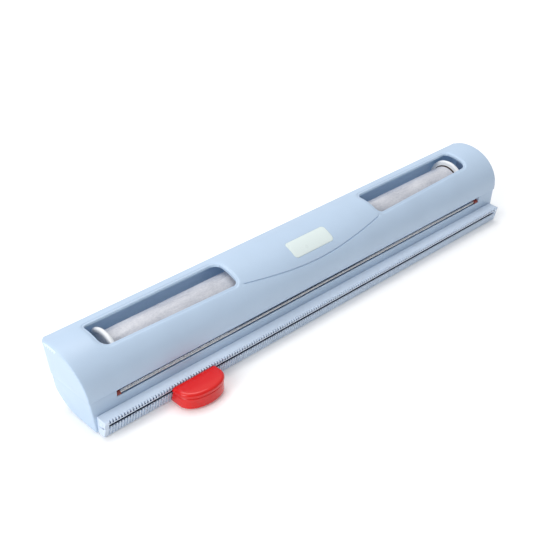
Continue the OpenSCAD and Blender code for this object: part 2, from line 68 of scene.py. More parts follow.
lid_high = box_mm("lid_cover")[1]
rail_low, rail_high = box_mm("cutter_rail")
film_low, film_high = box_mm("film_roll")
core_low, core_high = box_mm("core_tube")
plug_low, plug_high = box_mm("right_core_plug")
rod_low, rod_high = box_mm("guide_rod")
bush_low, bush_high = box_mm("right_rod_bush")
pin_low, pin_high = box_mm("right_hinge_pin")
label_low, label_high = box_mm("label_plate")
cap_low, cap_high = box_mm("slider_cap")
body_low = box_mm("slider_body")[0]
screw_low, screw_high = box_mm("blade_screw")
foot_low, foot_high = box_mm("rubber_feet")

WALL = 2.2
PROUD = 0.5
FOOT_PAST_RAIL = 1.2
PARTING_DROP = 2.7
PARTING_GAP = 0.15
SLOT_INSET = 15
ARCH_DEPTH = 29.0
ARCH_RISE = 23.8
BASE_DEPTH = 42.3
BELLY_R = 24.0
CORNER_R = 5.0
SLOT_H = 4.6
SLOT_FALL = 2.4
END_LEAN = math.tan(math.radians(6.0))
under_z = rail_low[2]
half_foot = rail_high[0] + FOOT_PAST_RAIL
front_y = rail_high[1]
back_y = front_y + BASE_DEPTH
spring_z = lid_high[2] - PROUD - ARCH_RISE
parting_z = spring_z - PARTING_DROP
lid_foot_z = parting_z + PARTING_GAP
crown_y = front_y + ARCH_DEPTH
roll_y = (film_low[1] + film_high[1]) / 2
roll_z = (film_low[2] + film_high[2]) / 2
slot_x = rail_high[0] - SLOT_INSET
rod_y = (rod_low[1] + rod_high[1]) / 2
rod_z = (rod_low[2] + rod_high[2]) / 2
rod_r = (rod_high[2] - rod_low[2]) / 2
bush_r = (bush_high[2] - bush_low[2]) / 2
hinge_x = (pin_low[0] + pin_high[0]) / 2
hinge_y = (pin_low[1] + pin_high[1]) / 2
hinge_z = (pin_low[2] + pin_high[2]) / 2
SIDES = ((-1, "left"), (1, "right"))
print("front", round(front_y, 2), "back", round(back_y, 2), "parting", round(parting_z, 2))

# %% [markdown]
# ## Mesh helpers
# A thin moulding is easiest to draw flat, like sheet metal: one axis runs along the dispenser
# and one along the bent cross-section. Holes are left out of the flat pattern, and each point
# is then folded to its place. The triangulation keeps every drawn edge, so the rim of a
# window stays exactly as drawn.
# %% Filling a flat pattern with triangles


def inside(points, loop):
    """For each flat point, whether it lies inside the loop."""
    x, y = points[:, 0], points[:, 1]
    odd = np.zeros(len(points), bool)
    for (x1, y1), (x2, y2) in zip(loop, loop[1:] + loop[:1]):
        if y1 != y2:
            crossing = (x2 - x1) * (y - y1) / (y2 - y1) + x1
            odd ^= ((y1 > y) != (y2 > y)) & (x < crossing)
    return odd


def distance(points, loop):
    """Distance from each flat point to the loop, negative inside it."""
    best = np.full(len(points), 1e9)
    for first, last in zip(loop, loop[1:] + loop[:1]):
        step = np.subtract(last, first)
        reach = points - first
        share = np.clip(reach @ step / max(step @ step, 1e-9), 0, 1)
        best = np.minimum(best, np.hypot(*(reach - share[:, None] * step).T))
    return np.where(inside(points, loop), -best, best)


def fill_pattern(outline, holes=(), lines=(), grid=(), keep_off=1.0):
    """Corners and triangles of a flat pattern with holes, drawn lines and free grid points."""
    points = []
    edges = []
    for loop in [outline, *holes]:
        first = len(points)
        points += loop
        edges += [(first + k, first + (k + 1) % len(loop)) for k in range(len(loop))]
    for line in lines:
        first = len(points)
        points += line
        edges += [(first + k, first + k + 1) for k in range(len(line) - 1)]
    if len(grid):
        drawn = kdtree.KDTree(len(points))
        for k, (x, y) in enumerate(points):
            drawn.insert((x, y, 0), k)
        drawn.balance()
        free = np.array(grid)
        free = free[inside(free, outline)]
        for hole in holes:
            free = free[~inside(free, hole)]
        points = points + [(x, y) for x, y in free.tolist() if drawn.find((x, y, 0))[2] > keep_off]
    corners, _, faces, *_ = delaunay_2d_cdt([Vector(point) for point in points], edges, [], 0, 1e-5)
    flat = np.array([tuple(corner) for corner in corners])
    middles = np.array([flat[list(face)].mean(axis=0) for face in faces])
    keep = inside(middles, outline)
    for hole in holes:
        keep &= ~inside(middles, hole)
    return flat, [tuple(face) for face, kept in zip(faces, keep) if kept]


# %% Outlines


def rectangle(x_low, y_low, x_high, y_high):
    return [(x_low, y_low), (x_high, y_low), (x_high, y_high), (x_low, y_high)]


def divided(loop, spacing):
    """A closed outline with extra points on its long sides."""
    fine = []
    for first, last in zip(loop, loop[1:] + loop[:1]):
        count = max(1, math.ceil(math.dist(first, last) / spacing))
        fine += [tuple(a + (b - a) * k / count for a, b in zip(first, last)) for k in range(count)]
    return fine


def rounded_loop(corners, radii, spacing=1.5, steps=8):
    """A closed outline whose corners are rounded and whose sides are evenly divided."""
    loop = []
    for k, corner in enumerate(corners):
        before = np.subtract(corners[k - 1], corner)
        after = np.subtract(corners[(k + 1) % len(corners)], corner)
        u, w = before / np.hypot(*before), after / np.hypot(*after)
        half = math.acos(float(u @ w)) / 2
        middle = corner + (u + w) / np.hypot(*(u + w)) * radii[k] / math.sin(half)
        first = corner + u * radii[k] / math.tan(half) - middle
        last = corner + w * radii[k] / math.tan(half) - middle
        for step in range(steps + 1):
            way = first * (steps - step) + last * step
            loop.append(tuple((middle + radii[k] * way / np.hypot(*way)).tolist()))
    return divided(loop, spacing)


def inset_loop(loop, width):
    """A closed outline drawn in by width, or out if width is negative."""
    area = sum(x1 * y2 - x2 * y1 for (x1, y1), (x2, y2) in zip(loop, loop[1:] + loop[:1]))
    turn = 1 if area > 0 else -1
    drawn = []
    for k, point in enumerate(loop):
        before = np.subtract(point, loop[k - 1])
        after = np.subtract(loop[(k + 1) % len(loop)], point)
        n1 = np.array((-before[1], before[0])) * turn / np.hypot(*before)
        n2 = np.array((-after[1], after[0])) * turn / np.hypot(*after)
        moved = point + (n1 + n2) * width / max(1 + float(n1 @ n2), 0.4)
        drawn.append(tuple(moved.tolist()))
    return drawn


def circle(y, z, radius, count=40):
    angles = [2 * math.pi * k / count for k in range(count)]
    return [(y + radius * math.cos(a), z + radius * math.sin(a)) for a in angles]


def arc(centre, radii, start, end, count):
    turns = [math.radians(start + (end - start) * k / count) for k in range(count + 1)]
    return [(centre[0] + radii[0] * math.cos(t), centre[1] + radii[1] * math.sin(t)) for t in turns]


def run(first, last, count):
    """The points between two points, without them."""
    return [tuple(a + (b - a) * k / count for a, b in zip(first, last)) for k in range(1, count)]


# %% Clay: skins are collected first and made into one object
WELD = 0.002


class Clay:
    """Collects points and faces in millimetres until a piece is made from them."""

    def __init__(self):
        self.points = []
        self.faces = []

    def add(self, points, faces):
        shift = len(self.points)
        self.points += [tuple(point) for point in points]
        self.faces += [tuple(k + shift for k in face) for face in faces]

    def rows(self, rows, closed=True):
        """Skins a stack of rows that all hold the same number of points."""
        count = len(rows[0])
        faces = []
        for low in range(0, (len(rows) - 1) * count, count):
            for k in range(count if closed else count - 1):
                after = (k + 1) % count
                faces.append((low + k, low + after, low + count + after, low + count + k))
        self.add([point for row in rows for point in row], faces)

    def along_x(self, places, closed=True):
        """Skins outlines that stand across X, given as (x, outline) pairs."""
        self.rows([[(x, y, z) for y, z in outline] for x, outline in places], closed)

    def end_plate(self, x, outline, holes=()):
        """A flat face across X, with holes."""
        flat, faces = fill_pattern(outline, holes)
        self.add([(x, y, z) for y, z in flat], faces)

    def make(self, name, body, material, replaced=(), crease=38):
        """Welds the collected skins into one object that rides on a body of the frame."""
        mesh = bpy.data.meshes.new(name)
        mesh.from_pydata([Vector(point) * MM for point in self.points], [], self.faces)
        bm = bmesh.new()
        bm.from_mesh(mesh)
        bmesh.ops.remove_doubles(bm, verts=bm.verts, dist=WELD * MM)
        bmesh.ops.delete(bm, geom=[v for v in bm.verts if not v.link_faces], context="VERTS")
        gaps = [edge for edge in bm.edges if edge.is_boundary]
        bmesh.ops.holes_fill(bm, edges=gaps, sides=8)
        bmesh.ops.recalc_face_normals(bm, faces=bm.faces)
        for face in bm.faces:
            face.smooth = True
        for edge in bm.edges:
            if len(edge.link_faces) == 2 and edge.calc_face_angle(0) > math.radians(crease):
                edge.smooth = False
        open_edges = sum(len(edge.link_faces) != 2 for edge in bm.edges)
        bm.to_mesh(mesh)
        bm.free()
        mesh.materials.append(material)
        piece = bpy.data.objects.new(name, mesh)
        bpy.context.collection.objects.link(piece)
        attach(piece, body)
        if replaced:
            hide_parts(*replaced)
        counts = f"{len(mesh.vertices)} points, {len(mesh.polygons)} faces, {open_edges} open edges"
        print(name, counts)
        return piece


# %% Bars along X, turned pieces and second finishes


def tint(piece, material, chosen):
    """Gives a second finish to the faces that chosen(middle, normal) picks."""
    piece.data.materials.append(material)
    for face in piece.data.polygons:
        if chosen(face.center / MM, face.normal):
            face.material_index = 1


def prism(clay, loop, x_low, x_high, chamfer=0.3, bore=None):
    """A bar of cross-section loop with chamfered ends and, if asked, a bore straight through."""
    drawn = inset_loop(loop, chamfer)
    clay.along_x([(x_low, drawn), (x_low + chamfer, loop), (x_high - chamfer, loop), (x_high, drawn)])
    for x in (x_low, x_high):
        clay.end_plate(x, drawn, [bore] if bore else [])
    if bore:
        clay.along_x([(x_low, bore), (x_high, bore)])


def turned(clay, profile, y, z, side=1, count=96):
    """Turns a profile of (x, radius) pairs about an axis along X."""
    angles = np.linspace(0, 2 * math.pi, count, endpoint=False)
    clay.rows([[(side * x, y + radius * math.cos(a), z + radius * math.sin(a)) for a in angles]
               for x, radius in profile])


# %% [markdown]
# ## Finishes
# Each finish is a small node tree. A colour varies a little in soft patches, the gloss varies
# with it, and a very fine bump gives the skin that an injection mould leaves. All patterns
# are measured in millimetres on the object, so they keep their scale in close-ups.
# %% Helpers for node trees


def set_sockets(node, **values):
    """Sets a node's sockets by their names, written with _ for a space."""
    for key, value in values.items():
        node.inputs[key.replace("_", " ")].default_value = value


class Finish:
    """A material under construction: its shader, and short calls that add nodes to it."""

    def __init__(self, name):
        self.material = bpy.data.materials.new(name)
        self.material.use_nodes = True
        self.tree = self.material.node_tree
        self.shader = self.tree.nodes["Principled BSDF"]
        self.place = self.add("ShaderNodeTexCoord").outputs["Object"]

    def add(self, kind, **settings):
        node = self.tree.nodes.new(kind)
        for key, value in settings.items():
            setattr(node, key, value)
        return node

    def link(self, source, target):
        self.tree.links.new(source, target)

    def set(self, **values):
        set_sockets(self.shader, **values)

    def stretched(self, scale):
        mapping = self.add("ShaderNodeMapping")
        set_sockets(mapping, Scale=scale)
        self.link(self.place, mapping.inputs["Vector"])
        return mapping.outputs["Vector"]

    def noise(self, size_mm, detail=2.0, rough=0.5, along=None):
        """Soft noise whose patches are about size_mm across."""
        node = self.add("ShaderNodeTexNoise")
        set_sockets(node, Scale=1 / (size_mm * MM), Detail=detail, Roughness=rough)
        self.link(along or self.place, node.inputs["Vector"])
        return node.outputs["Fac"]

    def ramp(self, source, stops):
        node = self.add("ShaderNodeValToRGB")
        while len(node.color_ramp.elements) < len(stops):
            node.color_ramp.elements.new(0.5)
        for element, (at, colour) in zip(node.color_ramp.elements, stops):
            element.position = at
            element.color = (*colour, 1)
        self.link(source, node.inputs["Fac"])
        return node.outputs["Color"]

    def spread(self, source, low, high, start=0.3, end=0.7):
        """Turns a noise into a number between low and high."""
        node = self.add("ShaderNodeMapRange")
        set_sockets(node, From_Min=start, From_Max=end, To_Min=low, To_Max=high)
        self.link(source, node.inputs["Value"])
        return node.outputs["Result"]

    def bump(self, source, height_mm, strength=1.0):
        node = self.add("ShaderNodeBump")
        set_sockets(node, Distance=height_mm * MM, Strength=strength)
        self.link(source, node.inputs["Height"])
        self.link(node.outputs["Normal"], self.shader.inputs["Normal"])

    def to(self, source, socket):
        self.link(source, self.shader.inputs[socket])


def times(colour, factor):
    return tuple(min(1.0, channel * factor) for channel in colour)


# %% [markdown]
# ### Plastics
# The housing is moulded styrene in one pale blue. Such plastic is nearly even: it has faint
# clouds from the flow in the mould and a satin skin. Two noises of different size give the
# clouds and the skin, which stays sharp at any distance. The walls behind the roll get a
# lighter blue that glows a little, which is painted light. The rail is a moulding of its own
# and a touch paler, and the inside of its groove gets a dark blue as painted shade. The
# red of the cutter is deep and plain under a clear gloss, as polished tools give it.
# %% The plastics


def moulded_plastic(name, colour, roughness, cloud=0.03, skin_mm=0.012, **more):
    finish = Finish(name)
    stops = [(0.3, times(colour, 1 - cloud)), (0.7, times(colour, 1 + cloud))]
    finish.to(finish.ramp(finish.noise(38, 3), stops), "Base Color")
    finish.to(finish.spread(finish.noise(11, 4), roughness - 0.04, roughness + 0.05), "Roughness")
    finish.bump(finish.noise(0.55, 2), skin_mm, 0.35)
    finish.set(IOR=1.5, **more)
    return finish.material


housing_plastic = moulded_plastic("housing_plastic", (0.50, 0.63, 0.79), 0.36)
# Painted light: a lighter copy of the housing blue that also glows, for the walls seen behind the
# roll.
inner_painted_light = moulded_plastic("inner_painted_light", (0.66, 0.82, 0.97), 0.5,
                                Emission_Color=(0.3, 0.55, 1, 1), Emission_Strength=0.06)
white_plastic = moulded_plastic("plug_plastic", (0.80, 0.82, 0.84), 0.34, 0.015)
brown_plastic = moulded_plastic("bush_plastic", (0.33, 0.06, 0.045), 0.4, 0.1)
label_face = moulded_plastic("label_face", (0.76, 0.85, 0.83), 0.3, 0.01, 0.004)
# Painted shade: a dark brown for the step behind each plug's flange.
recess_painted_shade = moulded_plastic("recess_painted_shade", (0.09, 0.045, 0.035), 0.7, 0.12)
foot_rubber = moulded_plastic("foot_rubber", (0.055, 0.058, 0.064), 0.8, 0.12, 0.05)
rail_plastic = moulded_plastic("rail_plastic", (0.65, 0.75, 0.88), 0.34)
# Painted shade: a dark blue for the inside of the rail's groove and channel.
groove_painted_shade = moulded_plastic("groove_painted_shade", (0.05, 0.085, 0.19), 0.6)
cutter_plastic = moulded_plastic("cutter_plastic", (0.72, 0.012, 0.010), 0.17, skin_mm=0.008,
                                 Specular_IOR_Level=0.05, Coat_Weight=0.8, Coat_Roughness=0.04)
print("plastics made")

# %% [markdown]
# ### Metals
# Drawn wire and ground steel keep fine streaks from their making. One noise, stretched along
# the piece, gives the streaks their colour, gloss and height. The guide rod is polished by
# the wrap, so it shines most.
# %% The metals


def drawn_metal(name, colour, roughness, stretch, metallic=1.0):
    finish = Finish(name)
    finish.set(Metallic=metallic)
    streaks = finish.noise(0.4, 3, 0.6, finish.stretched(stretch))
    shades = [(0.25, times(colour, 0.86)), (0.75, times(colour, 1.08))]
    finish.to(finish.ramp(streaks, shades), "Base Color")
    finish.to(finish.spread(streaks, roughness - 0.05, roughness + 0.1), "Roughness")
    finish.bump(streaks, 0.004, 0.2)
    return finish.material


rod_steel = drawn_metal("rod_steel", (0.95, 0.94, 0.92), 0.24, (0.04, 1, 1), 0.85)
blade_steel = drawn_metal("blade_steel", (0.66, 0.67, 0.69), 0.26, (1, 0.1, 1))
fastener_steel = drawn_metal("fastener_steel", (0.58, 0.59, 0.61), 0.34, (1, 1, 0.3))
print("metals made")

# %% [markdown]
# ### Wrap and card
# Tightly wound wrap is clear, yet its many layers trap air and look grey, with bright grain
# and softer bands. A fine and a coarse noise are added to tell how much air lies at a place.
# Card is dull and shows its fibres.
# %% Film and card


def wound_film():
    finish = Finish("wound_film")
    grain = finish.noise(0.9, 4, 0.7, finish.stretched((0.5, 1, 1)))
    patches = finish.noise(9, 3, 0.55, finish.stretched((0.35, 1, 1)))
    mix = finish.add("ShaderNodeMath", operation="MULTIPLY_ADD")
    finish.link(grain, mix.inputs[0])
    mix.inputs[1].default_value = 0.55
    finish.link(finish.spread(patches, 0.0, 0.45, 0.2, 0.8), mix.inputs[2])
    shades = [(0.25, (0.38, 0.40, 0.46)), (0.5, (0.55, 0.56, 0.61)), (0.8, (0.76, 0.76, 0.79))]
    finish.to(finish.ramp(mix.outputs[0], shades), "Base Color")
    finish.to(finish.spread(patches, 0.22, 0.42), "Roughness")
    finish.bump(mix.outputs[0], 0.10, 0.5)
    finish.set(Coat_Weight=0.4, Coat_Roughness=0.2)
    return finish.material


def core_board():
    finish = Finish("core_card")
    fibres = finish.noise(0.7, 5, 0.7, finish.stretched((0.3, 1, 1)))
    shades = [(0.3, (0.40, 0.29, 0.18)), (0.7, (0.56, 0.43, 0.29))]
    finish.to(finish.ramp(fibres, shades), "Base Color")
    finish.bump(fibres, 0.05, 0.6)
    finish.set(Roughness=0.85)
    return finish.material


film_finish = wound_film()
core_card = core_board()
print("film and card made")

# %% [markdown]
# ## Cross-sections
# The lid is half an ellipse that ends in an upright back wall, and the base has a straight
# front and a round belly. Both ends of the housing lean outwards, and their rear corners are
# round. Each cross-section is a row of points from the front edge round to the back edge.
# %% Cross-sections of the lid and the base


def lid_section(proud):
    """The arch, a small round at the top of the back wall, and the back wall."""
    radii = (ARCH_DEPTH + proud, ARCH_RISE + proud)
    back = back_y + proud
    edge_r = 1.5
    arch = arc((crown_y, spring_z), radii, 180, 20, 60)
    arch = [point for point in arch if point[0] < back - 0.6 * edge_r]
    round_z = arch[-1][1] - 0.8 * edge_r
    top = [point for point in arc((back - edge_r, round_z), (edge_r, edge_r), 60, 0, 5)
           if point[0] > arch[-1][0] + 0.05]
    start = (front_y - proud, lid_foot_z)
    end = (back, lid_foot_z)
    return [start] + run(start, arch[0], 2) + arch + top + run(top[-1], end, 10) + [end]


def base_section(inset):
    """A straight front, a small round under it, the flat underside and the belly."""
    low_r = 1.2
    start = (front_y + inset, parting_z)
    low = (front_y + inset + low_r, under_z + inset + low_r)
    belly_r = BELLY_R - inset
    centre = (back_y - BELLY_R, under_z + BELLY_R)
    rise = math.degrees(math.asin((parting_z - centre[1]) / belly_r))
    foot = arc(low, (low_r, low_r), 180, 270, 4)
    belly = arc(centre, (belly_r, belly_r), -90, rise, 30)
    return [start] + run(start, foot[0], 9) + foot + run(foot[-1], belly[0], 4) + belly


# %% Folding a pattern to its place


class Folded:
    """A cross-section, and how a flat pattern of it folds up between the leaning ends."""

    def __init__(self, section, proud, inward):
        self.section = np.array(section)
        self.proud = proud
        steps = np.hypot(*np.diff(self.section, axis=0).T)
        self.along = np.concatenate([[0.0], np.cumsum(steps)])
        slope = np.gradient(self.section, self.along, axis=0)
        slope /= np.hypot(*slope.T)[:, None]
        self.inwards = inward * np.stack([slope[:, 1], -slope[:, 0]], axis=1)
        self.length = float(self.along[-1])

    def at(self, s):
        """Depth and height along the section, and the inward direction there."""
        place = [float(np.interp(s, self.along, self.section[:, k])) for k in (0, 1)]
        inward = [float(np.interp(s, self.along, self.inwards[:, k])) for k in (0, 1)]
        return place, inward

    def s_at(self, y):
        """Length along the section where the arch passes over y."""
        top = int(np.argmax(self.section[:, 0]))
        return float(np.interp(y, self.section[1:top + 1, 0], self.along[1:top + 1]))

    def end_x(self, y, z):
        """How far out the leaning end face lies, with the round corner at the back."""
        flat = half_foot + (z - under_z) * END_LEAN + self.proud / math.cos(math.atan(END_LEAN))
        radius = CORNER_R + self.proud
        past = min(max(y - (back_y - CORNER_R), 0.0), radius)
        return flat - radius + math.sqrt(radius ** 2 - past ** 2)

    def fold(self, x, s, depth=0.0):
        (y, z), (ny, nz) = self.at(s)
        return (x, y + ny * depth, z + nz * depth)

    def spans(self, low, high):
        """Lengths of the section's own points between two lengths, both ends included."""
        return [low] + [float(s) for s in self.along if low + 0.15 < s < high - 0.15] + [high]


lid_outer = Folded(lid_section(PROUD), PROUD, 1)
lid_inner = Folded(lid_section(PROUD - WALL), PROUD - WALL, 1)
base_outer = Folded(base_section(0), 0, -1)
base_inner = Folded(base_section(WALL), -WALL, -1)
print("lid skin", round(lid_outer.length, 1), "mm, base skin", round(base_outer.length, 1), "mm")

# %% [markdown]
# ## One shell from two skins
# A moulded half is an outer skin and an inner skin, with the wall between them. The outer
# skin turns into the end faces over a small round, because a mould never has a knife edge.
# Both skins keep the same stations round the open edge, so the strip that closes the wall
# fits them point by point, also round the notches for the slot and the hinges.
# %% The open edge of a skin, and the skin itself
CORNER_STEPS = 5
KNUCKLE_R = 2.6
KNUCKLE_WEB = 5
PIN_BORE_R = 1.25


def edge_stations(half, notches, spacing=3.0):
    """Places along one open edge from -half to half, each with the height of its notch."""
    stations = []
    nominal = -half_foot
    x = -half
    for low, high, rise in sorted(notches) + [(half_foot, half_foot, 0)]:
        stop = low if rise else half
        count = max(1, math.ceil((low - nominal) / spacing))
        stations += [(x + (stop - x) * k / count, 0.0) for k in range(count + 1)]
        if rise:
            count = math.ceil((high - low) / spacing)
            stations += [(low + (high - low) * k / count, rise) for k in range(count + 1)]
        nominal = x = high
    return stations


def end_face(clay, skin, rim, side, count=14):
    """A leaning end face, laid flat round its rear corner. Returns its points on the open edge."""
    radius = CORNER_R + skin.proud
    turn_y = back_y - CORNER_R

    def laid(y):
        return y if y < turn_y else turn_y + radius * math.asin(min((y - turn_y) / radius, 1))

    def lifted(t, z):
        y = t if t < turn_y else turn_y + radius * math.sin(min((t - turn_y) / radius, math.pi / 2))
        return (side * skin.end_x(y, z), y, z)

    loop = [(laid(y), z) for y, z in rim]
    closing = [loop[-1]] + run(loop[-1], loop[0], count) + [loop[0]]
    heights = [z for _, z in loop]
    grid = [(t, z) for t in np.arange(loop[0][0], loop[-1][0], 2.2)
            for z in np.arange(min(heights), max(heights), 2.2)]
    flat, faces = fill_pattern(loop + closing[1:-1], grid=grid)
    clay.add([lifted(t, z) for t, z in flat.tolist()], faces)
    return [lifted(t, z) for t, z in reversed(closing)]


def skin_sides(clay, skin, ends, corner_round):
    """Both end faces with the small rounds that lead to them, and their points on the open edge."""
    sides = {}
    steps = range(CORNER_STEPS + 1) if corner_round else [CORNER_STEPS]
    turns = [math.pi / 2 * k / CORNER_STEPS for k in steps]
    for side in (1, -1):
        rows = []
        for turn in turns:
            row = []
            for _, y, z, (ny, nz), _ in ends:
                drop = corner_round * (1 - math.cos(turn))
                x = skin.end_x(y + ny * drop, z + nz * drop) - corner_round * (1 - math.sin(turn))
                row.append((side * x, y + ny * drop, z + nz * drop))
            rows.append(row)
        if corner_round:
            clay.rows(rows, closed=False)
        cap = end_face(clay, skin, [(y, z) for _, y, z in rows[-1]], side)
        lead = [row[0] for row in rows[:-1]] or [rows[0][0]] * CORNER_STEPS
        tail = [row[-1] for row in rows[:-1]] or [rows[0][-1]] * CORNER_STEPS
        sides[side] = lead + cap + tail[::-1]
    return sides


def skin_pattern(clay, skin, edge_round, corner_round, notches, holes=(), lines=(), depth=None,
                 spacing=(3.0, 1.4)):
    """One skin with its two end faces. Returns the points round its open edge."""
    ends = []
    for s in skin.spans(edge_round, skin.length - edge_round):
        (y, z), inward = skin.at(s)
        ends.append((s, y, z, inward, skin.end_x(y, z)))
    front = edge_stations(ends[0][4] - corner_round, notches[0])
    back = edge_stations(ends[-1][4] - corner_round, notches[1])
    right = [(x - corner_round, s) for s, _, _, _, x in ends[1:-1]]
    outline = [(x, edge_round + rise) for x, rise in front] + right
    outline += [(x, skin.length - edge_round - rise) for x, rise in reversed(back)]
    outline += [(-x, s) for x, s in reversed(right)]
    outline = [point for k, point in enumerate(outline) if point != outline[k - 1]]
    reach = ends[0][4] + 12
    grid = [(x, s) for x in np.arange(-reach, reach, spacing[0])
            for s in np.arange(0.7, skin.length, spacing[1])]
    flat, faces = fill_pattern(outline, list(holes), list(lines), grid, 0.45 * spacing[1])
    depths = depth(flat) if depth else np.zeros(len(flat))
    clay.add([skin.fold(x, s, d) for (x, s), d in zip(flat.tolist(), depths.tolist())], faces)
    sides = skin_sides(clay, skin, ends, corner_round)
    loop = [skin.fold(x, edge_round + rise) for x, rise in front] + sides[1]
    loop += [skin.fold(x, skin.length - edge_round - rise) for x, rise in reversed(back)]
    return loop + sides[-1][::-1]


def close_wall(clay, outer, inner, down):
    """The strip between the two skins, with rounded edges. Down points out of the opening."""
    rows = [[], [], [], []]
    for out, into in zip(outer, inner):
        out, into = np.array(out), np.array(into)
        across = into - out
        across[2] = 0
        across /= max(np.linalg.norm(across), 1e-6)
        fall = np.array((0, 0, down))
        rows[0].append(out + fall * 0.28 + across * 0.12)
        rows[1].append(out + fall * 0.4 + across * 0.4)
        rows[2].append(into + fall * 0.2 - across * 0.2)
        rows[3].append(into)
    clay.rows([outer] + rows)


def knuckle(clay, x_low, x_high, wall_y, rise):
    """A hinge knuckle with the web that joins it to a wall, upwards or downwards."""
    start = math.degrees(math.acos((wall_y - hinge_y) / KNUCKLE_R))
    loop = [(wall_y, hinge_z + KNUCKLE_WEB * rise)]
    loop += arc((hinge_y, hinge_z), (KNUCKLE_R, KNUCKLE_R * rise), start, 450, 36)
    loop.append((hinge_y, hinge_z + KNUCKLE_WEB * rise))
    prism(clay, loop, x_low, x_high, 0.25, circle(hinge_y, hinge_z, PIN_BORE_R, 32))


# %% [markdown]
# ## The lid
# The windows are cut straight down through both skins, and a shallow rim runs round each of
# them, so the hole's edge sits a little below the blue surface. The brow line is a fine groove
# that sags from one window to the other. Both are drawn as lines in the flat pattern, and
# a depth is given to the points that lie in the groove or on the rim.
# %% Outlines on the lid, seen from above
WINDOW_IN = (66.0, 0.555)
WINDOW_OUT = (167.5, 2.755)
WINDOW_BACK = back_y - 8.5
RIM_W = 1.6
RIM_DEPTH = 0.4
RIM_EDGE = ((-0.3, RIM_DEPTH), (-0.12, 0.33), (0, 0.1), (0.2, 0))
BROW_DEPTH = 0.58
BROW_FLAT = 0.2
BROW_HALF = 0.34
BROW_REACH = 63.6
LABEL_SEAT = 0.3
window_corners = [WINDOW_IN, WINDOW_OUT, (WINDOW_OUT[0], WINDOW_BACK), (WINDOW_IN[0], WINDOW_BACK)]
window_right = rounded_loop(window_corners, [4.1, 5.5, 2.75, 5.5])
label_outline = rounded_loop(rectangle(*label_low[:2], *label_high[:2]), [2.4] * 4)


def window_loop(side, grow):
    return [(side * x, y) for x, y in inset_loop(window_right, -grow)]


def brow_y(x):
    return front_y + 3.9 + 5.36 * (abs(x) / BROW_REACH) ** 1.9


def brow_line(shift):
    return [(float(x), brow_y(x) + shift) for x in np.linspace(-BROW_REACH, BROW_REACH, 86)]


def up_lid(points):
    """Outlines seen from above, moved to lengths along the lid's outer skin."""
    return [(x, lid_outer.s_at(y)) for x, y in points]


def lid_depths(flat):
    """How deep each point of the outer skin lies under the surface."""
    places = np.array([(x, lid_outer.at(s)[0][0]) for x, s in flat])
    depth = np.zeros(len(flat))
    for side in (1, -1):
        away = distance(places, window_loop(side, 0.0))
        depth = np.maximum(depth, np.interp(away - RIM_W, *zip(*RIM_EDGE)))
    away = distance(places, label_outline)
    depth = np.maximum(depth, np.interp(away, [0.05, 0.16], [LABEL_SEAT, 0]))
    off = np.abs(places[:, 1] - np.array([brow_y(x) for x in places[:, 0]]))
    taper = np.clip((BROW_REACH + 0.1 - np.abs(places[:, 0])) / 0.8, 0, 1)
    return np.maximum(depth, np.interp(off, [BROW_FLAT + 0.01, BROW_HALF], [BROW_DEPTH, 0]) * taper)


# %% The lid's two skins, its window edges and its knuckles
lid_clay = Clay()
lid_notches = ([], [(side * hinge_x - 5.3, side * hinge_x + 5.3, 2.8) for side in (-1, 1)])
rims = [RIM_W + step for step, _ in reversed(RIM_EDGE)]
drawn = [window_loop(side, grow) for side in (1, -1) for grow in rims]
drawn += [inset_loop(label_outline, -0.16), inset_loop(label_outline, -0.05)]
drawn = [loop + loop[:1] for loop in drawn]
drawn += [brow_line(shift) for shift in (-BROW_HALF, -BROW_FLAT, BROW_FLAT, BROW_HALF)]
outer_edge = skin_pattern(lid_clay, lid_outer, 0.4, 0.9, lid_notches,
                          holes=[up_lid(window_loop(side, 0.45)) for side in (1, -1)],
                          lines=[up_lid(line) for line in drawn], depth=lid_depths)
inner_holes = [[(x, lid_inner.s_at(y)) for x, y in window_loop(side, 0.0)] for side in (1, -1)]
inner_edge = skin_pattern(lid_clay, lid_inner, 0.2, 0.0, lid_notches, holes=inner_holes,
                          spacing=(6.0, 2.4))
close_wall(lid_clay, outer_edge, inner_edge, -1)
for side, hole in zip((1, -1), inner_holes):
    rows = [[lid_outer.fold(x, s, RIM_DEPTH + drop) for x, s in up_lid(window_loop(side, grow))]
            for grow, drop in ((0.45, 0), (0.2, 0.07), (0.05, 0.22), (0, 0.45))]
    lid_clay.rows(rows + [[lid_inner.fold(x, s) for x, s in hole]])
for side in (-1, 1):
    for low, high in ((-11.3, -5.3), (5.3, 11.3)):
        knuckle(lid_clay, side * hinge_x + low, side * hinge_x + high, back_y + PROUD - WALL / 2, 1)
lid = lid_clay.make("lid_moulding", "lid", housing_plastic, ["lid_cover"])


def faces_roll(middle, normal):
    """Whether a face lies behind the roll's axis and looks towards it."""
    y, z = middle.y - roll_y, middle.z - roll_z
    return y > 0 and y * normal.y + z * normal.z < -1.5


# Painted light: the lid's faces behind the roll get the lighter, glowing blue.
tint(lid, inner_painted_light, faces_roll)

# %% [markdown]
# ### The blank label
# A thin plate lies in a shallow seat in the middle of the lid. It is bent to the arch and
# left bare. Drawn in the lid's own flat pattern, it follows the arch exactly.
# %% The label plate
label_clay = Clay()
plate_ring = up_lid(label_outline)
edge_rows = [(0.3, -0.10), (0.12, -0.07), (0.0, 0.03), (0.0, LABEL_SEAT)]
label_clay.rows([[lid_outer.fold(x, s, depth) for x, s in inset_loop(plate_ring, drawn_in)]
                 for drawn_in, depth in edge_rows])
lengths = [s for _, s in plate_ring]
plate_grid = [(x, s) for x in np.arange(label_low[0], label_high[0], 2.0)
              for s in np.arange(min(lengths), max(lengths), 0.9)]
for drawn_in, depth in (edge_rows[0], edge_rows[-1]):
    flat, faces = fill_pattern(inset_loop(plate_ring, drawn_in), grid=plate_grid, keep_off=0.5)
    label_clay.add([lid_outer.fold(x, s, depth) for x, s in flat.tolist()], faces)
label_clay.make("blank_label", "lid", label_face, ["label_plate"])

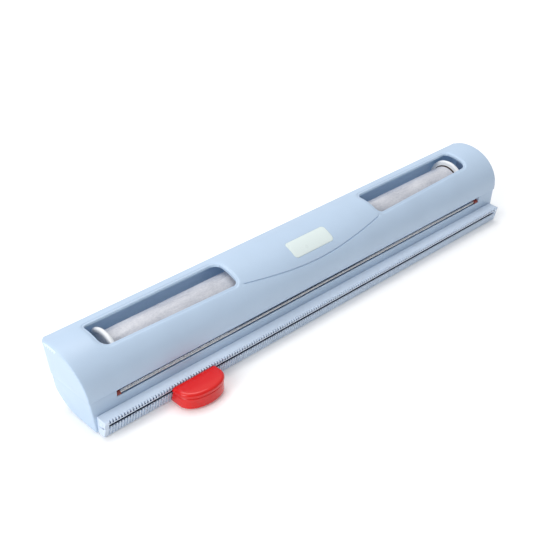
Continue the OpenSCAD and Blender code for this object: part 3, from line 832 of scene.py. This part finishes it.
# %% [markdown]
# ## The base
# The base is made the same way, with its open edge upwards. The outlet slot is one long notch
# in its front edge. Inside it, two cradles carry the roll, two bosses hold the rod's bushes,
# and low lips at the ends keep the lid in line.
# %% The base's two skins and its knuckles
base_clay = Clay()
lid_room = [(side * hinge_x + low, side * hinge_x + high, 2.95)
            for side in (-1, 1) for low, high in ((-11.6, -5.0), (5.0, 11.6))]
outer_edge = skin_pattern(base_clay, base_outer, 0.4, 0.9, ([(-slot_x, slot_x, SLOT_H)], lid_room))
inner_edge = skin_pattern(base_clay, base_inner, 0.2, 0.0,
                          ([(-slot_x, slot_x, SLOT_H + SLOT_FALL)], lid_room), spacing=(6.0, 2.4))
close_wall(base_clay, outer_edge, inner_edge, 1)
for side in (-1, 1):
    knuckle(base_clay, side * hinge_x - 5, side * hinge_x + 5, back_y - WALL / 2, -1)

# %% Cradles, bosses, lips and heels


def belly_z(y, inset):
    """Height of the belly's round, drawn in by inset."""
    past = max(y - (back_y - BELLY_R), 0.0)
    return under_z + BELLY_R - math.sqrt((BELLY_R - inset) ** 2 - past ** 2)


cradle_x = (plug_high[0] - 4.0, plug_high[0] - 1.0)
floor_z = under_z + 14
cradle_top = roll_z + 1.2
notch_r = 3.05
wall_in = WALL / 2
drop = under_z + BELLY_R - floor_z
reach_y = back_y - BELLY_R + math.sqrt((BELLY_R - wall_in) ** 2 - drop ** 2)
cradle = [(front_y + wall_in, floor_z), (front_y + wall_in, under_z + wall_in)]
cradle += [(y, belly_z(y, wall_in)) for y in np.linspace(back_y - BELLY_R, reach_y, 24).tolist()]
cradle += [(roll_y + 7, floor_z), (roll_y + 7, cradle_top), (roll_y + notch_r, cradle_top)]
cradle += arc((roll_y, roll_z), (notch_r, notch_r), 0, -180, 24)
cradle += [(roll_y - notch_r, cradle_top), (roll_y - 7, cradle_top), (roll_y - 7, floor_z)]

boss = rectangle(front_y + 0.15, rod_z - 5, front_y + 7, parting_z - 0.05)
boss_end = inset_loop(boss, 0.25)
seat_r = bush_r + 0.03
seat_x = bush_high[0] + 0.03
axle_r = rod_r + 0.05
axle_x = rod_high[0] + 0.35
boss_x = slot_x - 0.02
for side in (-1, 1):
    low, high = sorted((side * cradle_x[0], side * cradle_x[1]))
    prism(base_clay, cradle, low, high, 0.25)
    bore = [(boss_x, seat_r), (seat_x, seat_r), (seat_x, axle_r), (axle_x, axle_r), (axle_x, 0)]
    turned(base_clay, bore, rod_y, rod_z, side, 40)
    base_clay.end_plate(side * boss_x, boss_end, [circle(rod_y, rod_z, seat_r, 40)])
    block = [(boss_x, boss_end), (slot_x + 0.25, boss), (slot_x + 6.75, boss), (slot_x + 7, boss_end)]
    base_clay.along_x([(side * x, outline) for x, outline in block])
    base_clay.end_plate(side * (slot_x + 7), boss_end)


def lip_path(inset, z, side):
    """A line along the inside of an end, from the front round the rear corner."""
    flat = half_foot + (z - under_z) * END_LEAN - inset
    radius = CORNER_R - inset
    corner = arc((flat - radius, back_y - CORNER_R), (radius, radius), 0, 90, 8)
    front = front_y + inset
    points = [(178.5, front)] + run((178.5, front), (flat, front), 3) + [(flat, front)]
    points += run((flat, front), corner[0], 12) + corner + [(178.5 - 2, back_y - inset)]
    return [(side * x, y, z) for x, y in points]


for side in (-1, 1):
    corners = [(2.0, parting_z - 2.5), (2.0, parting_z + 1.4), (2.2, parting_z + 1.6),
               (3.0, parting_z + 1.6), (3.2, parting_z + 1.4), (3.2, parting_z - 2.5)]
    lines = [lip_path(inset, z, side) for inset, z in corners]
    base_clay.rows(lines + lines[:1], closed=False)
    for place in (0, -1):
        base_clay.add([line[place] for line in lines], [tuple(range(len(lines)))])

heel_low = foot_high[1] - 8.5
heel_mid = (foot_low[0] + 11, foot_high[0] - 11)
heel = [(heel_low, under_z), (heel_low + 10, under_z)]
heel += [(y, belly_z(y, 0.6)) for y in np.linspace(heel_low + 10, heel_low, 9).tolist()]
for middle in heel_mid:
    prism(base_clay, heel, middle - 12.5, middle + 12.5, 0.3)
base = base_clay.make("base_moulding", "housing", housing_plastic, ["base_trough"])
# Painted light: the base's faces behind the roll get the lighter, glowing blue.
tint(base, inner_painted_light, faces_roll)

# %% [markdown]
# ## The cutter rail
# The rail is a long bar with a leaning front. Below its groove stand fine ribs, and its top
# edge carries small teeth that the wrap clings to while it is cut. The whole bar is one skin
# of narrow columns, four to each rib, so every rib has a real flank that catches light. The
# gaps between the ribs open into the groove, whose inside is painted dark blue as painted
# shade. A plug in each end of the rail's channel stops the cutter, and its lip closes the
# groove flush with the face.
# %% One column of the rail
RAIL_TAN = 2.6 / 11.7
RAIL_LEAN = math.atan(RAIL_TAN)
RAIL_H = 11.7
RIB_PITCH = 2.05
RIB_DEPTH = 0.77
TOOTH_SHARE = 1.7
GROOVE_LOW = 7.8
GROOVE_TOP = 9.6
CHANNEL_LOW = 6.2
CHANNEL_TOP = 10.8
channel_front = front_y - 5
channel_back = front_y - 1.4
rail_foot_y = front_y - 6.0
face_length = RAIL_H / math.cos(RAIL_LEAN)


def on_face(up, into):
    """A point that lies up the leaning face and into the rail."""
    y = rail_foot_y + into * math.cos(RAIL_LEAN) - up * math.sin(RAIL_LEAN)
    return (y, under_z + into * math.sin(RAIL_LEAN) + up * math.cos(RAIL_LEAN))


def face_at(z, out=0.0):
    return rail_foot_y - (z - under_z) * RAIL_TAN + out


def rail_column(rib, tooth):
    """The rail's outline from under its front edge round to under its back edge."""
    top_y = on_face(face_length, 0)[0]
    lip_z = GROOVE_LOW - 2.6 * rib
    low = [(rail_foot_y + 0.3, under_z), on_face(0.12, 0.1), on_face(0.5, 0)]
    low += [on_face(0.7, 0.1 * rib), on_face(0.95, rib), on_face(4, rib)]
    groove = [(face_at(lip_z - 0.15, rib), lip_z - 0.15), (face_at(lip_z, rib + 0.12), lip_z),
              (face_at(lip_z - 0.1, rib + 0.3), lip_z - 0.1), (face_at(CHANNEL_LOW, 1.8), CHANNEL_LOW),
              (channel_back, CHANNEL_LOW), (channel_back, CHANNEL_TOP), (channel_front, CHANNEL_TOP),
              (channel_front, GROOVE_TOP), (face_at(GROOVE_TOP, 0.12), GROOVE_TOP),
              (face_at(GROOVE_TOP + 0.15), GROOVE_TOP + 0.15)]
    high = [on_face(face_length - 1.75, 0), on_face(face_length - 1.6, tooth),
            on_face(face_length - 0.3, tooth), on_face(face_length - 0.06, tooth + 0.1),
            (top_y + 0.3 + tooth, 12.31), (top_y + 0.9 + tooth, 12.35), (front_y - 4, 12.51),
            (front_y - 0.3, 12.68), (front_y, 12.4), (front_y, under_z)]
    return low + groove + high


# %% All columns, the ends and the hollow underside
END_ROUND = 0.2
POCKETS = 12
rail_clay = Clay()
rail_half = rail_high[0]
plain = rail_column(0, 0)
rail_end = inset_loop(plain, END_ROUND)
columns = [(-rail_half, rail_end), (END_ROUND - rail_half, plain)]
ribs = int((rail_half - RIB_PITCH) / RIB_PITCH)
for k in range(-ribs, ribs + 1):
    for share, cut in ((-0.2, 0), (0.2, 0), (0.32, RIB_DEPTH), (0.68, RIB_DEPTH)):
        x = (k + share) * RIB_PITCH
        if x < rail_half - 0.6:
            columns.append((x, rail_column(cut, TOOTH_SHARE * cut)))
columns += [(rail_half - END_ROUND, plain), (rail_half, rail_end)]
rail_clay.along_x(columns, closed=False)
for x in (-rail_half, rail_half):
    rail_clay.end_plate(x, rail_end)
sole = [(x, outline[0][0]) for x, outline in columns]
sole += [(x, outline[-1][0]) for x, outline in reversed(columns)]
bay = 2 * rail_half / POCKETS
starts = [k * bay - rail_half for k in range(POCKETS)]
pockets = [rectangle(x + 3, front_y - 4.5, x + bay - 3, front_y - 1.5) for x in starts]
flat, faces = fill_pattern(sole, pockets)
lifts = [END_ROUND if abs(x) > rail_half - 0.01 else 0 for x, _ in flat]
rail_clay.add([(x, y, under_z + lift) for (x, y), lift in zip(flat.tolist(), lifts)], faces)
for pocket in pockets:
    rail_clay.rows([[(x, y, z) for x, y in pocket] for z in (under_z, under_z + 3)])
    rail_clay.add([(x, y, under_z + 3) for x, y in pocket], [(0, 1, 2, 3)])

# %% The two end stops and the painted shade inside the groove
PLAY = 0.03
LIP_LENGTH = 3
BLOCK_LENGTH = 7
lip_low, lip_high = GROOVE_LOW + PLAY, GROOVE_TOP - PLAY
stop_lip = [(face_at(lip_low, 0.05), lip_low), (channel_front - 0.02, lip_low),
            (channel_front - 0.02, lip_high), (face_at(lip_high, 0.05), lip_high)]
stop_block = rectangle(channel_front + PLAY, 6.83, channel_back - PLAY, CHANNEL_TOP - PLAY)
for side, name in SIDES:
    stop_clay = Clay()
    for loop, length in ((stop_lip, LIP_LENGTH), (stop_block, BLOCK_LENGTH)):
        low, high = sorted((side * (rail_half - length), side * rail_half))
        prism(stop_clay, loop, low, high, 0.08)
    stop_clay.make(name + "_end_stop", "housing", rail_plastic, [name + "_rail_cap"])
rail = rail_clay.make("ribbed_rail", "housing", rail_plastic, ["cutter_rail"])


def in_groove(middle, normal):
    """Whether a face lies inside the groove or the channel, between the stops' lips."""
    level = 5.7 < middle.z < CHANNEL_TOP + 0.1 and abs(normal.x) < 0.9
    deep = face_at(middle.z, 0.3) < middle.y < front_y - 1
    return level and deep and abs(middle.x) < rail_half - LIP_LENGTH


# Painted shade: the faces inside the groove get the dark blue.
tint(rail, groove_painted_shade, in_groove)

# %% [markdown]
# ## The red cutter
# The cutter is a rounded grip in two halves with a soft waist between them. Seen from above
# it is straight along the rail and bulges forward. A stack of outlines, each drawn in a
# little more towards an edge, gives it the full round edges of a polished moulding.
# %% Outlines of the cutter seen from above
CORNER_CUT = 0.5
slider_x = (cap_low[0] + cap_high[0]) / 2
slider_half = (cap_high[0] - cap_low[0]) / 2
bulge_y = front_y - 14.3
tip_y = cap_low[1]
waist_z = cap_low[2]


def cutter_loop(z, inset):
    """The cutter's outline at a height, drawn in by inset, with its back along the rail's face."""
    half = slider_half - inset
    back = face_at(z) - 0.36 - 0.3 * inset
    power = 2 / 2.1
    bulge = []
    for turn in np.linspace(0, math.pi, 49).tolist():
        wide = math.copysign(abs(math.cos(turn)) ** power, math.cos(turn))
        bulge.append((half * wide, bulge_y + (tip_y + inset - bulge_y) * math.sin(turn) ** power))
    first, last = (half - CORNER_CUT, back), (half, back - CORNER_CUT)
    right = [first] + run(first, last, 3) + [last] + run(last, bulge[0], 4)
    left = [(-x, y) for x, y in reversed(right)]
    rear = run((-first[0], back), first, 14)
    return [(slider_x + x, y) for x, y in right + bulge + left + rear]


def stacked(clay, levels):
    """Skins a stack of cutter outlines given as (height, inset) pairs."""
    clay.rows([[(x, y, z) for x, y in cutter_loop(z, inset)] for z, inset in levels])


def flat_top(clay, loop, z):
    """One flat face over an outline at a height."""
    clay.add([(x, y, z) for x, y in loop], [tuple(range(len(loop)))])


def rounding(z, inset, height, width, turn_up, steps=6):
    """Levels of a rounded edge that reaches in by width over height."""
    levels = []
    for k in range(steps + 1):
        a = math.pi / 2 * k / steps
        rise = height * math.sin(a) if turn_up else -height * math.sin(a)
        levels.append((z + rise, inset + width * (1 - math.cos(a))))
    return levels


# %% The cutter's cap
cap_clay = Clay()
cap_top = cap_high[2]
cap_levels = rounding(waist_z + 0.9, 0, 0.9, 1.0, False)[::-1]
cap_levels += rounding(cap_top - 1.9, 0, 1.75, 2.1, True, 8)
cap_levels += [(cap_top - 0.08, 3.6), (cap_top - 0.03, 5.4), (cap_top, 7.0)]
stacked(cap_clay, cap_levels)
for z, inset in (cap_levels[0], cap_levels[-1]):
    flat_top(cap_clay, cutter_loop(z, inset), z)
cap_clay.make("cutter_cap", "cutter", cutter_plastic, ["slider_cap"])

# %% The cutter's lower half, with the screw's recess
RECESS_R = 2.03
grip_clay = Clay()
grip_low = body_low[2]
grip_levels = [(grip_low, 1.8)] + rounding(grip_low + 1.3, 0.25, 1.2, 1.0, False)[::-1]
grip_levels += [(grip_low + 3.4, 0.27), (waist_z - 2.0, 0.35)]
grip_levels += rounding(waist_z - 1.0, 0.37, 1.0, 0.8, True)
stacked(grip_clay, grip_levels)
recess_top = screw_low[2] + 1.2
recess = circle(slider_x, (screw_low[1] + screw_high[1]) / 2, RECESS_R)
flat, faces = fill_pattern(cutter_loop(*grip_levels[0]), [recess])
grip_clay.add([(x, y, grip_low) for x, y in flat], faces)
grip_clay.rows([[(x, y, z) for x, y in recess] for z in (grip_low, recess_top)])
flat_top(grip_clay, recess, recess_top)
flat_top(grip_clay, cutter_loop(*grip_levels[-1]), grip_levels[-1][0])
grip_clay.make("cutter_grip", "cutter", cutter_plastic, ["slider_body"])

# %% [markdown]
# ## The roll
# The wrap is wound on a card core, and a white plug in each end carries it in its cradle.
# The wrap's surface is never a perfect cylinder: it has soft bands and small puckers, which
# come from two noises that take a tenth of a millimetre off the radius. The step behind each
# flange is painted dark brown, as painted shade for the gap between the wrap and the flange.
# %% Film and core
CARD_WALL = 1.2
film_clay = Clay()
film_r = (film_high[1] - film_low[1]) / 2
core_r = (core_high[1] - core_low[1]) / 2
film_half = film_high[0]


def film_radius(x, angle):
    round_y, round_z = math.cos(angle), math.sin(angle)
    bands = noise.noise((x / 11, 2 * round_y, 2 * round_z))
    puckers = noise.noise((x / 3.2, 7 * round_y, 7 * round_z))
    return film_r - 0.14 + 0.09 * bands + 0.05 * puckers


def ring(x, radii):
    return [(x, roll_y + r * math.cos(a), roll_z + r * math.sin(a)) for r, a in zip(radii, angles)]


angles = np.linspace(0, 2 * math.pi, 120, endpoint=False).tolist()
stations = [-film_half, 0.15 - film_half]
stations += np.linspace(0.9 - film_half, film_half - 0.9, 250).tolist()
stations += [film_half - 0.15, film_half]
rows = []
for x in stations:
    edge = 0.12 if abs(x) == film_half else 0
    rows.append(ring(x, [film_radius(x, a) - edge for a in angles]))
bore = [core_r + 0.02] * len(angles)
rows = [ring(-film_half, bore)] + rows + [ring(film_half, bore)]
film_clay.rows(rows + rows[:1])
film_clay.make("wound_wrap", "roll", film_finish, ["film_roll"])

core_clay = Clay()
core_half = core_high[0]
bore_r = core_r - CARD_WALL
tube = [(-core_half, bore_r), (-core_half, core_r), (core_half, core_r), (core_half, bore_r)]
turned(core_clay, tube + tube[:1], roll_y, roll_z)
core_clay.make("card_core", "roll", core_card, ["core_tube"])

# %% The two plugs
flange_r = (plug_high[1] - plug_low[1]) / 2
hub_r = bore_r - 0.03
flange_in = plug_low[0] + 16
flange_out = flange_in + 3.1
dish_x = flange_out - 0.62


def plug_profile():
    """From the middle of the hub's floor, over the hub and the flange, to the axle's end."""
    recess_r = flange_r - 3.4
    hub = [(flange_in - 1.8, 0), (flange_in - 1.8, hub_r - 1.8), (plug_low[0], hub_r - 1.8),
           (plug_low[0], hub_r - 0.3), (plug_low[0] + 0.3, hub_r), (flange_in + 1.18, hub_r),
           (flange_in + 1.18, recess_r - 0.1), (flange_in + 1.08, recess_r),
           (flange_in + 0.15, recess_r), (flange_in, recess_r + 0.15)]
    edge = arc((flange_in + 1.4, flange_r - 1.4), (1.4, 1.4), 180, 90, 8)
    edge += arc((flange_out - 1.4, flange_r - 1.4), (1.4, 1.4), 90, 0, 8)
    dish = [(flange_out, flange_r - 2.8), (flange_out - 0.12, flange_r - 3.15),
            (flange_out - 0.5, flange_r - 3.4), (dish_x, flange_r - 3.8), (dish_x, 5.4),
            (flange_out - 0.5, 5.2), (flange_out - 0.1, 4.9), (flange_out, 4.7)]
    axle = [(flange_out, 3.2), (flange_out + 0.2, 3.0), (plug_high[0] - 0.3, 3.0),
            (plug_high[0], 2.7), (plug_high[0], 0)]
    return hub + edge + dish + axle


def in_recess(middle, normal):
    """Whether a face belongs to the step behind the flange."""
    radius = math.hypot(middle.y - roll_y, middle.z - roll_z)
    return flange_in < abs(middle.x) < flange_in + 1.3 and hub_r + 0.1 < radius < flange_r - 3


for side, name in SIDES:
    plug_clay = Clay()
    turned(plug_clay, plug_profile(), roll_y, roll_z, side, 120)
    replaced = [name + "_core_plug"]
    plug = plug_clay.make(name + "_plug", "roll", white_plastic, replaced)
    # Painted shade: the step behind the flange gets the dark brown.
    tint(plug, recess_painted_shade, in_recess)

# %% [markdown]
# ## The rod and its bushes
# A bright steel rod lies in the outlet slot and turns with the wrap that runs over it. Its two
# ends sit in dark bushes. Both are turned pieces with small chamfers, as on a lathe.
# %% Rod and bushes
rod_half = rod_high[0]
rod_clay = Clay()
rod_profile = [(-rod_half, 0), (-rod_half, rod_r - 0.25), (0.25 - rod_half, rod_r)]
rod_profile += [(x, rod_r) for x in np.linspace(5 - rod_half, rod_half - 5, 24).tolist()]
rod_profile += [(rod_half - 0.25, rod_r), (rod_half, rod_r - 0.25), (rod_half, 0)]
turned(rod_clay, rod_profile, rod_y, rod_z, 1, 48)
rod_clay.make("steel_rod", "rod", rod_steel, ["guide_rod"])

for side, name in SIDES:
    bush_clay = Clay()
    bush = [(bush_low[0], axle_r), (bush_low[0], bush_r - 0.2), (bush_low[0] + 0.2, bush_r),
            (bush_high[0], bush_r), (bush_high[0], axle_r)]
    turned(bush_clay, bush + bush[:1], rod_y, rod_z, side, 48)
    bush_clay.make(name + "_bush", "housing", brown_plastic, [name + "_rod_bush"])

# %% [markdown]
# ## Small construction pieces
# The hinge pins, the screws, the blade, its shoe and the rubber feet have their right shape
# already. They stay and only get a finish, and most of them soft edges.
# %% Finishes of the pieces that stay
kept = {
    "left_hinge_pin": (fastener_steel, 0.2), "right_hinge_pin": (fastener_steel, 0.2),
    "rail_screws": (fastener_steel, 0), "blade_screw": (fastener_steel, 0),
    "cutter_blade": (blade_steel, 0), "slider_shoe": (white_plastic, 0.15),
    "rubber_feet": (foot_rubber, 0.25),
}
for name, (material, edge) in kept.items():
    piece = nodes[name]
    for place in piece.material_slots:
        place.material = material
    if not piece.material_slots:
        piece.data.materials.append(material)
    if edge:
        bevel = piece.modifiers.new("soft_edges", "BEVEL")
        bevel.width = edge * MM
        bevel.segments = 2
        bevel.limit_method = "ANGLE"
        bevel.angle_limit = math.radians(50)
print("finished", len(kept), "construction pieces")

# %% [markdown]
# ## Light, floor and camera
# The object stands on a plain pale floor that runs out to white and gives off a little light
# of its own, as a lit table does. One large soft lamp from the left makes the end face the
# brightest side, and a second one from above and behind lights the arch. The sky is bright
# above and behind and dim in front, which leaves the front of the lid a shade darker. The
# camera has the photograph's angle.
# %% Floor, lamps and sky
floor_mesh = bpy.data.meshes.new("studio_floor")
floor_mesh.from_pydata([(x, y, 0) for x, y in rectangle(-20, -20, 20, 20)], [], [(0, 1, 2, 3)])
floor = bpy.data.objects.new("studio_floor", floor_mesh)
bpy.context.collection.objects.link(floor)
floor_finish = Finish("floor_paper")
floor_finish.set(Base_Color=(0.97, 0.97, 0.97, 1), Roughness=0.9)
floor_finish.set(Emission_Color=(1, 1, 1, 1), Emission_Strength=0.1)
floor_mesh.materials.append(floor_finish.material)


def soft_lamp(name, place, size, power):
    """A round lamp that looks at the middle of the object."""
    lamp = bpy.data.lights.new(name, "AREA")
    lamp.shape = "DISK"
    lamp.size = size
    lamp.energy = power
    holder = bpy.data.objects.new(name, lamp)
    holder.location = place
    aim = Vector((0, 0, 0.02)) - Vector(place)
    holder.rotation_euler = aim.to_track_quat("-Z", "Y").to_euler()
    bpy.context.collection.objects.link(holder)


soft_lamp("left_softbox", (-1.35, -0.1, 0.75), 0.9, 10)
soft_lamp("top_softbox", (0.1, 0.5, 1.5), 1.2, 9)
sky = bpy.data.worlds.new("studio_sky")
sky.use_nodes = True
tree = sky.node_tree
backdrop = tree.nodes["Background"]
direction = tree.nodes.new("ShaderNodeTexCoord")
parts = tree.nodes.new("ShaderNodeSeparateXYZ")
height = tree.nodes.new("ShaderNodeMath")
height.operation = "MULTIPLY_ADD"
height.inputs[1].default_value = 0.45
fade = tree.nodes.new("ShaderNodeMapRange")
set_sockets(fade, From_Min=-0.4, From_Max=1.0, To_Min=0.04, To_Max=0.86)
set_sockets(backdrop, Color=(0.97, 0.98, 1, 1))
for source, target in ((direction.outputs["Generated"], parts.inputs["Vector"]),
                       (parts.outputs["Y"], height.inputs[0]), (parts.outputs["Z"], height.inputs[2]),
                       (height.outputs["Value"], fade.inputs["Value"]),
                       (fade.outputs["Result"], backdrop.inputs["Strength"])):
    tree.links.new(source, target)
bpy.context.scene.world = sky
bpy.context.scene.view_settings.view_transform = "Standard"

# %% The camera at the photograph's angle
camera = bpy.data.cameras.new("photo_camera")
camera.sensor_width = 36
camera.lens = 36 * 1000 / 550
camera_holder = bpy.data.objects.new("photo_camera", camera)
camera_holder.location = Vector((-409.88, -396.69, 388.15)) * MM
camera_holder.rotation_euler = (math.radians(90 - 32.7), 0, -math.radians(43.323))
bpy.context.collection.objects.link(camera_holder)
bpy.context.scene.camera = camera_holder
print("camera looks down by 32.7 degrees")
